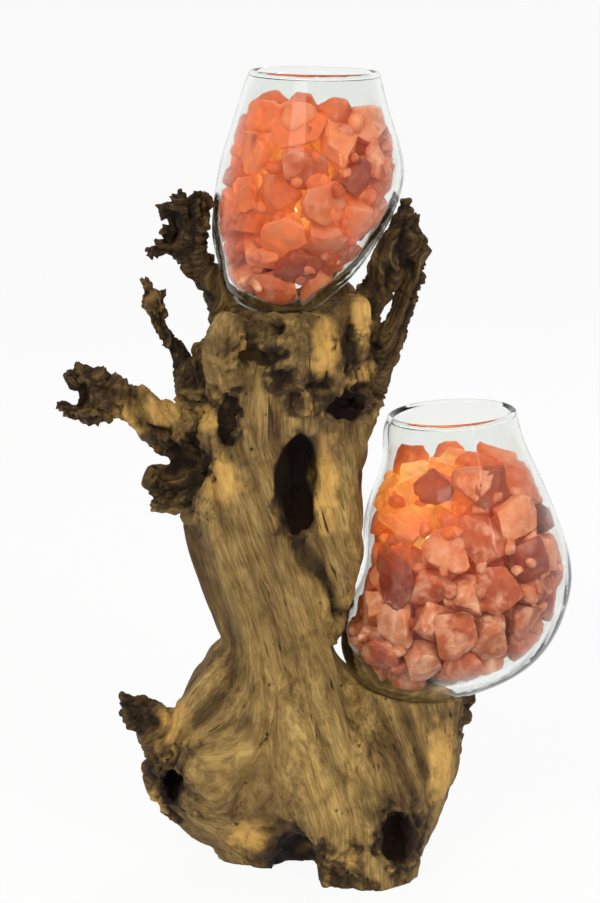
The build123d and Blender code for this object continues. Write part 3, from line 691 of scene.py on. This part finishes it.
saltLook = {
    "flatAngle": 3,  # degrees between faces that are merged before the lumps are broken
    "turn": 0.6,
    "shrink": (0.78, 0.97),
    "bevel": 0.0027,
    "bevelSteps": 2,
    "longEdge": 0.006,
    "roughen": 0.0017,
    "roughScale": 120,
    "roughFine": (2.4, 0.5),  # scale against the coarse noise, and share
    "cuts": 11,
    "cutDepth": (0.55, 0.85),
    "chipRadius": (0.004, 0.0098),
    "chipSpacing": 0.017,
    "chipDepth": (0.004, 0.022),  # how far behind the glass the chips lie
    "chipInset": 0.9,  # against the radius
    "chipFineness": 2,
    "chipTries": 9000,
    "lumpFineness": 3,
    "bigLumps": {  # middle and size of the lumps that stand out
        "upper_salt_pink": [(-0.036, -0.03, 0.567, 0.016), (0.012, -0.03, 0.57, 0.014)],
        "upper_salt_pale": [(-0.016, -0.038, 0.568, 0.015), (-0.036, 0.006, 0.569, 0.016)],
        "lower_salt_red": [(0.05, -0.05, 0.24, 0.025), (0.083, -0.044, 0.306, 0.015)],
        "lower_salt_pale": [(0.112, -0.04, 0.306, 0.018)],
    },
    "glassGap": 0.0007,
    "wallStep": 0.0005,
    "bulbs": {"upper": (-0.018, -0.006, 0.508), "lower": (0.082, -0.004, 0.276)},
    "tops": {"upper": 0.567, "lower": 0.3},
    "bulbRoom": 0.021,
    "unchipped": "salt_red",
    "grades": {
        "salt_pale": {"pale": (0.46, 0.175, 0.08), "deep": (0.30, 0.07, 0.024), "frost": 0.8},
        "salt_pink": {"pale": (0.36, 0.085, 0.028), "deep": (0.21, 0.03, 0.008), "frost": 0.62},
        "salt_red": {"pale": (0.20, 0.026, 0.011), "deep": (0.08, 0.008, 0.004), "frost": 0.22},
    },
    "frostColour": (0.66, 0.37, 0.25),
    # Painted light of the bulb through the salt: a deeper orange colour beside the bulb, and an emission
    # glow that fades with distance from it
    "bulbLitColour": (0.30, 0.055, 0.013),  # of the salt beside the bulb
    "glowStops": [
        (0.0, (1.0, 0.62, 0.15)), (0.08, (1.0, 0.36, 0.05)), (0.2, (0.62, 0.11, 0.014)),
        (0.38, (0.27, 0.034, 0.006)), (0.65, (0.12, 0.014, 0.004)), (1.0, (0.06, 0.007, 0.002)),
    ],
    "noises": {  # scale per metre, detail, roughness and distortion
        "vein": (70, 6, 0.6, 1.4),
        "cloudy": (85, 7, 0.68, 0.3),
        "grit": (480, 5, 0.7),
    },
    "ranges": {  # from where to where a value counts, and how much at either end
        "vein": (0.35, 0.65, -0.2, 0.45),
        "reach": (0.05, 0.14),
        "frosted": (0.15, 0.6, 0.1, 1.0),
        "frost": (0.45, 0.66),
        "near": (0.1, 0.5, 0.75, 0.0),
        "veiled": (0.3, 0.7, 1.35, 0.6),
        "rough": (0.3, 0.7, 0.32, 0.62),
    },
    "toneShare": 0.75,
    # the painted glow reaches further above the bulb than below it
    "overBulb": 0.62,  # how much height counts as distance above and below the bulb
    "underBulb": -1.2,
    "veinWobble": 0.035,
    "toneWobble": 0.016,
    "bodyInGlow": 0.35,
    "veinHeight": 0.5,
    "bump": (0.5, 0.0009),
    "surface": {
        # strength of the painted glow
        "Emission Strength": 0.88,
        "Specular IOR Level": 0.22,
        "Subsurface Weight": 0.35,
        "Subsurface Radius": (0.012, 0.005, 0.003),
        "Subsurface Scale": 1.0,
    },
}


def islandsOf(shape):
    unseen = set(shape.verts)
    islands = []
    for first in shape.verts:
        if first not in unseen:
            continue
        unseen.remove(first)
        queue = [first]
        island = []
        while queue:
            vert = queue.pop()
            island.append(vert)
            for edge in vert.link_edges:
                other = edge.other_vert(vert)
                if other in unseen:
                    unseen.remove(other)
                    queue.append(other)
        islands.append(island)
    return islands


def breakLumps(shape, dice):
    flatAngle = math.radians(saltLook["flatAngle"])
    bmesh.ops.dissolve_limit(shape, angle_limit=flatAngle, verts=shape.verts, edges=shape.edges)
    for island in islandsOf(shape):
        middle = sum((vert.co for vert in island), Vector()) / len(island)
        turn = Euler([dice.uniform(-1, 1) * saltLook["turn"] for _ in range(3)]).to_matrix()
        sizes = Vector([dice.uniform(*saltLook["shrink"]) for _ in range(3)])
        for vert in island:
            vert.co = middle + turn @ ((vert.co - middle) * sizes)
    bmesh.ops.bevel(shape, geom=shape.edges, offset=saltLook["bevel"], offset_type="OFFSET", profile=0.5,
                    segments=saltLook["bevelSteps"], affect="EDGES", clamp_overlap=True, material=-1)
    bmesh.ops.triangulate(shape, faces=[face for face in shape.faces if len(face.verts) > 4])
    longEdges = [edge for edge in shape.edges if edge.calc_length() > saltLook["longEdge"]]
    bmesh.ops.subdivide_edges(shape, edges=longEdges, cuts=1, use_grid_fill=True)


def breakOff(shape, dice, spot, radius, fineness):
    made = bmesh.ops.create_icosphere(shape, subdivisions=fineness, radius=radius)["verts"]
    cuts = []
    for _ in range(saltLook["cuts"]):
        way = Vector([dice.gauss(0, 1) for _ in range(3)]).normalized()
        cuts.append((way, radius * dice.uniform(*saltLook["cutDepth"])))
    for vert in made:
        reach = 1.0
        for way, depth in cuts:
            across = vert.co.dot(way)
            if across > depth:
                reach = min(reach, depth / across)
        vert.co = spot + vert.co * reach


def inwardOf(spot, glass):
    wall, normal, _, _ = glass.find_nearest(spot)
    return wall, normal, (spot - wall).dot(normal)


def addChips(shape, dice, lampName, glass, low, high):
    bulb = Vector(saltLook["bulbs"][lampName])
    least, most = saltLook["chipDepth"]
    kept = []
    for _ in range(saltLook["chipTries"]):
        spot = Vector([dice.uniform(first, last) for first, last in zip(low, high)])
        inward = inwardOf(spot, glass)[2]
        radius = dice.uniform(*saltLook["chipRadius"])
        if not least < inward < most or inward < radius * saltLook["chipInset"]:
            continue
        if (spot.xy - bulb.xy).length < saltLook["bulbRoom"] + radius:
            continue
        if any((spot - other).length < saltLook["chipSpacing"] for other in kept):
            continue
        kept.append(spot)
        breakOff(shape, dice, spot, radius, saltLook["chipFineness"])


def finishLumps(shape, name, dice, glass):
    bmesh.ops.recalc_face_normals(shape, faces=shape.faces)
    shape.normal_update()
    tone = shape.verts.layers.float.new("lumpTone")
    for island in islandsOf(shape):
        own = dice.random()
        for vert in island:
            vert[tone] = own
    finer, fineShare = saltLook["roughFine"]
    for vert in shape.verts:
        rough = noise.noise(vert.co * saltLook["roughScale"])
        rough += fineShare * noise.noise(vert.co * saltLook["roughScale"] * finer)
        vert.co += vert.normal * saltLook["roughen"] * rough
    for vert in shape.verts:
        wall, normal, inward = inwardOf(vert.co, glass)
        if inward < saltLook["glassGap"]:
            vert.co = wall + normal * saltLook["glassGap"]
    mesh = bpy.data.meshes.new(name)
    shape.to_mesh(mesh)
    shape.free()
    mesh.shade_smooth()
    return mesh


def innerWall(nodeName):
    vessel = copyOf(nodeName)
    tree = BVHTree.FromBMesh(vessel)
    outer = []
    for face in vessel.faces:
        start = face.calc_center_median() + face.normal * saltLook["wallStep"]
        if tree.ray_cast(start, face.normal)[0] is None:
            outer.append(face)
    bmesh.ops.delete(vessel, geom=outer, context="FACES_ONLY")
    tree = BVHTree.FromBMesh(vessel)
    vessel.free()
    return tree


def saltGroup():
    group, given, result = newGroup(
        "saltCrystal",
        {"Pale": "Color", "Deep": "Color", "Bulb": "Vector", "Frost": "Float"},
        {"Colour": "Color", "Glow": "Color", "Roughness": "Float", "Height": "Float"},
    )

    def share(value, name):
        return inRange(group, value, *saltLook["ranges"][name])

    place = addNode(group, "TexCoord").outputs["Object"]
    tone = addNode(group, "Attribute", attribute_name="lumpTone").outputs["Fac"]
    vein, cloudy, grit = (noiseAt(group, place, *values) for values in saltLook["noises"].values())
    veinShare = share(vein, "vein")
    toneShare = combine(group, "MULTIPLY_ADD", tone, saltLook["toneShare"], veinShare, clamp=True)
    body = blendColours(group, toneShare, given.outputs["Pale"], given.outputs["Deep"])
    ends = {0: place, 1: given.outputs["Bulb"]}
    away = addNode(group, "VectorMath", ends, operation="SUBTRACT").outputs[0]
    parts = addNode(group, "SeparateXYZ", {0: away}).outputs
    over = combine(group, "MULTIPLY", parts["Z"], saltLook["overBulb"])
    under = combine(group, "MULTIPLY", parts["Z"], saltLook["underBulb"])
    rise = combine(group, "MAXIMUM", over, under)
    level = addNode(group, "CombineXYZ", {"X": parts["X"], "Y": parts["Y"], "Z": rise}).outputs[0]
    span = addNode(group, "VectorMath", {0: level}, operation="LENGTH").outputs["Value"]
    wobble = combine(group, "MULTIPLY_ADD", vein, saltLook["veinWobble"], span)
    wobble = combine(group, "MULTIPLY_ADD", tone, saltLook["toneWobble"], wobble)
    # reach: distance from the bulb, which sets the painted glow
    reach = share(wobble, "reach")
    # the salt's own whitish frost, thinned near the bulb under the painted glow
    frost = combine(group, "MULTIPLY", share(cloudy, "frost"), share(reach, "frosted"))
    frost = combine(group, "MULTIPLY", frost, given.outputs["Frost"])
    body = blendColours(group, frost, body, saltLook["frostColour"])
    body = blendColours(group, share(reach, "near"), body, saltLook["bulbLitColour"])
    # painted glow standing in for the bulb's light shining through the salt
    glow = colourRamp(group, reach, saltLook["glowStops"])
    glow = blendColours(group, saltLook["bodyInGlow"], glow, body, "MULTIPLY")
    scaled = {0: glow, "Scale": share(cloudy, "veiled")}
    glow = addNode(group, "VectorMath", scaled, operation="SCALE").outputs[0]
    height = combine(group, "MULTIPLY_ADD", vein, saltLook["veinHeight"], grit)
    rough = share(grit, "rough")
    plugAll(group, result, {"Colour": body, "Glow": glow, "Roughness": rough, "Height": height})
    return group


saltCrystal = saltGroup()


def saltMaterial(name, grade, bulb):
    material, tree, surface = newMaterial(name)
    colours = {"Pale": (*grade["pale"], 1), "Deep": (*grade["deep"], 1)}
    inputs = colours | {"Bulb": bulb, "Frost": grade["frost"]}
    crystal = addNode(tree, "Group", inputs, node_tree=saltCrystal).outputs
    plugAll(tree, surface, saltLook["surface"])
    plugAll(tree, surface, {
        "Base Color": crystal["Colour"],
        "Roughness": crystal["Roughness"],
        # painted glow of the salt
        "Emission Color": crystal["Glow"],
    })
    addBump(tree, surface, crystal["Height"], *saltLook["bump"])
    return material


for lampName, bulb in saltLook["bulbs"].items():
    glass = innerWall(f"{lampName}_glass_vessel")
    for gradeName, grade in saltLook["grades"].items():
        nodeName = f"{lampName}_{gradeName}"
        dice = random.Random(nodeName)
        lumps = copyOf(nodeName)
        breakLumps(lumps, dice)
        for *middle, radius in saltLook["bigLumps"].get(nodeName, []):
            breakOff(lumps, dice, Vector(middle), radius, saltLook["lumpFineness"])
        if gradeName != saltLook["unchipped"]:
            low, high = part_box(nodeName)
            addChips(lumps, dice, lampName, glass, low, (high[0], high[1], saltLook["tops"][lampName]))
        mesh = finishLumps(lumps, nodeName + "_lumps", dice, glass)
        crystalLook = saltMaterial(nodeName, grade, bulb)
        placePiece(nodeName + "_lumps", mesh, crystalLook, f"{lampName}_lamp", nodeName)
        print(nodeName, len(mesh.polygons), "faces")


# Blown glass

glassLook = {"tint": (0.90, 0.92, 0.895), "ior": 1.4, "sheen": (0.3, 0.3, 0.3)}


def glassMaterial():
    material, tree, surface = newMaterial("blownGlass")
    tint = (*glassLook["tint"], 1)
    plugAll(tree, surface, {
        "Base Color": tint,
        "Roughness": 0.0,
        "IOR": glassLook["ior"],
        "Specular Tint": (*glassLook["sheen"], 1),
        "Transmission Weight": 1.0,
    })
    clear = addNode(tree, "BsdfTransparent", {"Color": tint})
    paths = addNode(tree, "LightPath").outputs
    mixSurface(tree, paths["Is Shadow Ray"], surface, clear)
    return material


blownGlass = glassMaterial()
for lampName in ("upper", "lower"):
    dress(f"{lampName}_glass_vessel", blownGlass)
print("glass dressed")


# Bulbs, holders and clamps

finishes = {
    "plated": {"colour": (0.55, 0.55, 0.53), "metal": 1.0, "roughness": (0.25, 0.45)},
    "brass": {"colour": (0.72, 0.52, 0.2), "metal": 1.0, "roughness": (0.25, 0.5)},
    "rubber": {"colour": (0.025, 0.025, 0.026), "metal": 0.0, "roughness": (0.6, 0.8)},
    "blackPlastic": {"colour": (0.02, 0.02, 0.021), "metal": 0.0, "roughness": (0.35, 0.55)},
    "porcelain": {"colour": (0.8, 0.78, 0.73), "metal": 0.0, "roughness": (0.15, 0.3)},
    "darkGlass": {"colour": (0.01, 0.01, 0.014), "metal": 0.0, "roughness": (0.08, 0.2)},
}
litFinishes = {
    "litBulb": {"colour": (1.0, 0.66, 0.28), "strength": 3.0},
    "litFilament": {"colour": (1.0, 0.8, 0.5), "strength": 8.0},
}
wearLook = {
    "smudge": (160, 5, 0.6),
    "grain": (1500, 2),
    "shade": [(0.3, (0.7, 0.7, 0.7)), (0.65, (1.05, 1.05, 1.05))],
    "span": (0.3, 0.7),
    "bump": (0.15, 0.0002),
    "litCloud": (90, 3),
    "litDim": 0.8,
    "litRoughness": 0.3,
}


def wearGroup():
    group, given, result = newGroup(
        "fineWear",
        {"Colour": "Color", "Smooth": "Float", "Rough": "Float"},
        {"Colour": "Color", "Roughness": "Float", "Height": "Float"},
    )
    place = addNode(group, "TexCoord").outputs["Object"]
    smudge = noiseAt(group, place, *wearLook["smudge"])
    grain = noiseAt(group, place, *wearLook["grain"])
    shade = colourRamp(group, smudge, wearLook["shade"])
    colour = blendColours(group, 1.0, given.outputs["Colour"], shade, "MULTIPLY")
    rough = inRange(group, smudge, *wearLook["span"], given.outputs["Smooth"], given.outputs["Rough"])
    plugAll(group, result, {"Colour": colour, "Roughness": rough, "Height": grain})
    return group


fineWear = wearGroup()


def plainMaterial(name, values):
    material, tree, surface = newMaterial(name)
    smooth, rough = values["roughness"]
    inputs = {"Colour": (*values["colour"], 1), "Smooth": smooth, "Rough": rough}
    wear = addNode(tree, "Group", inputs, node_tree=fineWear).outputs
    plugAll(tree, surface, {
        "Base Color": wear["Colour"],
        "Roughness": wear["Roughness"],
        "Metallic": values["metal"],
    })
    addBump(tree, surface, wear["Height"], *wearLook["bump"])
    return material


def litMaterial(name, values):
    material, tree, surface = newMaterial(name)
    bright = values["colour"]
    dim = tuple(wearLook["litDim"] * part for part in bright)
    start, end = wearLook["span"]
    place = addNode(tree, "TexCoord").outputs["Object"]
    glow = colourRamp(tree, noiseAt(tree, place, *wearLook["litCloud"]), [(start, dim), (end, bright)])
    plugAll(tree, surface, {
        "Base Color": (*bright, 1),
        "Roughness": wearLook["litRoughness"],
        "Emission Color": glow,
        "Emission Strength": values["strength"],
    })
    return material


made = {name: plainMaterial(name, values) for name, values in finishes.items()}
made |= {name: litMaterial(name, values) for name, values in litFinishes.items()}
finishOf = {
    "plated": (
        "threaded_tube", "inner_washer", "inner_lock_nut", "outer_washer", "outer_lock_nut", "bulb_cap",
    ),
    "rubber": ("inner_gasket", "outer_gasket", "wire_grommet"),
    "blackPlastic": ("holder_dome", "holder_sleeve"),
    "porcelain": ("holder_core",),
    "brass": ("holder_thread_shell", "holder_contact", "bulb_end_contact"),
    "darkGlass": ("bulb_insulator",),
    "litBulb": ("bulb_envelope", "bulb_stem"),
    "litFilament": ("bulb_filament",),
}
for lampName in ("upper", "lower"):
    for finish, partNames in finishOf.items():
        for partName in partNames:
            dress(f"{lampName}_{partName}", made[finish])
print("holders dressed")
